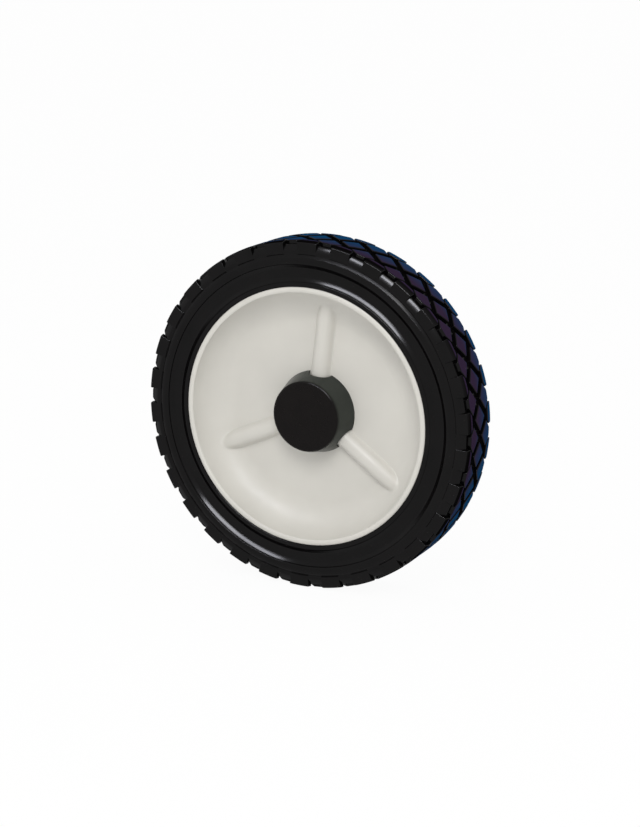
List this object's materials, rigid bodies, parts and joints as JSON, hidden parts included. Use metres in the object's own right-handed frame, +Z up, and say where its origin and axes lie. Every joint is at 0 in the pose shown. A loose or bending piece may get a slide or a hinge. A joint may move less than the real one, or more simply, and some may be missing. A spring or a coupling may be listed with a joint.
{
  "type": "lawn mower wheel",
  "caption": "Mower wheel with a dished plastic hub, a solid rubber tyre with a diamond tread, a push-on cap and sealed ball bearings on the axle bore.",
  "frame": {"origin": "on the axle, in the middle plane of the tyre", "axes": "+Y along the axle away from the cap, towards the machine; +Z up; +X to the right seen from the cap side"},
  "size_m": [0.2016, 0.0392, 0.2016],
  "materials": {
    "tyre_rubber": "satin black solid rubber",
    "hub_plastic": "smooth off-white moulded plastic, semi-gloss",
    "cap_plastic": "smooth black moulded plastic",
    "plated_steel": "zinc plated turned tube",
    "bearing_steel": "ground bearing steel",
    "ball_steel": "polished bearing balls",
    "cage_steel": "pressed sheet steel",
    "seal_rubber": "black moulded seal rubber"
  },
  "bodies": {
    "axle_sleeve": {"front_bearing_inner_ring": "bearing_steel", "rear_bearing_inner_ring": "bearing_steel", "spacer_sleeve": "plated_steel"},
    "wheel": {"hub": "hub_plastic", "tyre": "tyre_rubber", "front_bearing_outer_ring": "bearing_steel", "front_bearing_outer_seal": "seal_rubber", "front_bearing_inner_seal": "seal_rubber", "rear_bearing_outer_ring": "bearing_steel", "rear_bearing_outer_seal": "seal_rubber", "rear_bearing_inner_seal": "seal_rubber"},
    "front_cage": {"front_bearing_balls": "ball_steel", "front_bearing_cage_front": "cage_steel", "front_bearing_cage_rear": "cage_steel", "front_bearing_cage_rivets": "cage_steel"},
    "rear_cage": {"rear_bearing_balls": "ball_steel", "rear_bearing_cage_front": "cage_steel", "rear_bearing_cage_rear": "cage_steel", "rear_bearing_cage_rivets": "cage_steel"},
    "cap": {"hub_cap": "cap_plastic"}
  },
  "joints": [
    {"name": "wheel_spin", "type": "hinge", "parent": "axle_sleeve", "child": "wheel", "pos_m": [0, 0, 0], "axis": [0, 1, 0], "continuous": true},
    {"name": "front_cage_spin", "type": "hinge", "parent": "axle_sleeve", "child": "front_cage", "pos_m": [0, 0, 0], "axis": [0, 1, 0], "continuous": true},
    {"name": "rear_cage_spin", "type": "hinge", "parent": "axle_sleeve", "child": "rear_cage", "pos_m": [0, 0.016, 0], "axis": [0, 1, 0], "continuous": true},
    {"name": "cap_pull", "type": "slide", "parent": "wheel", "child": "cap", "axis": [0, -1, 0], "range_m": [0, 0.03]}
  ],
  "couplings": [
    {"joint": "front_cage_spin", "follows": "wheel_spin", "ratio": 0.6353},
    {"joint": "rear_cage_spin", "follows": "wheel_spin", "ratio": 0.6353}
  ]
}
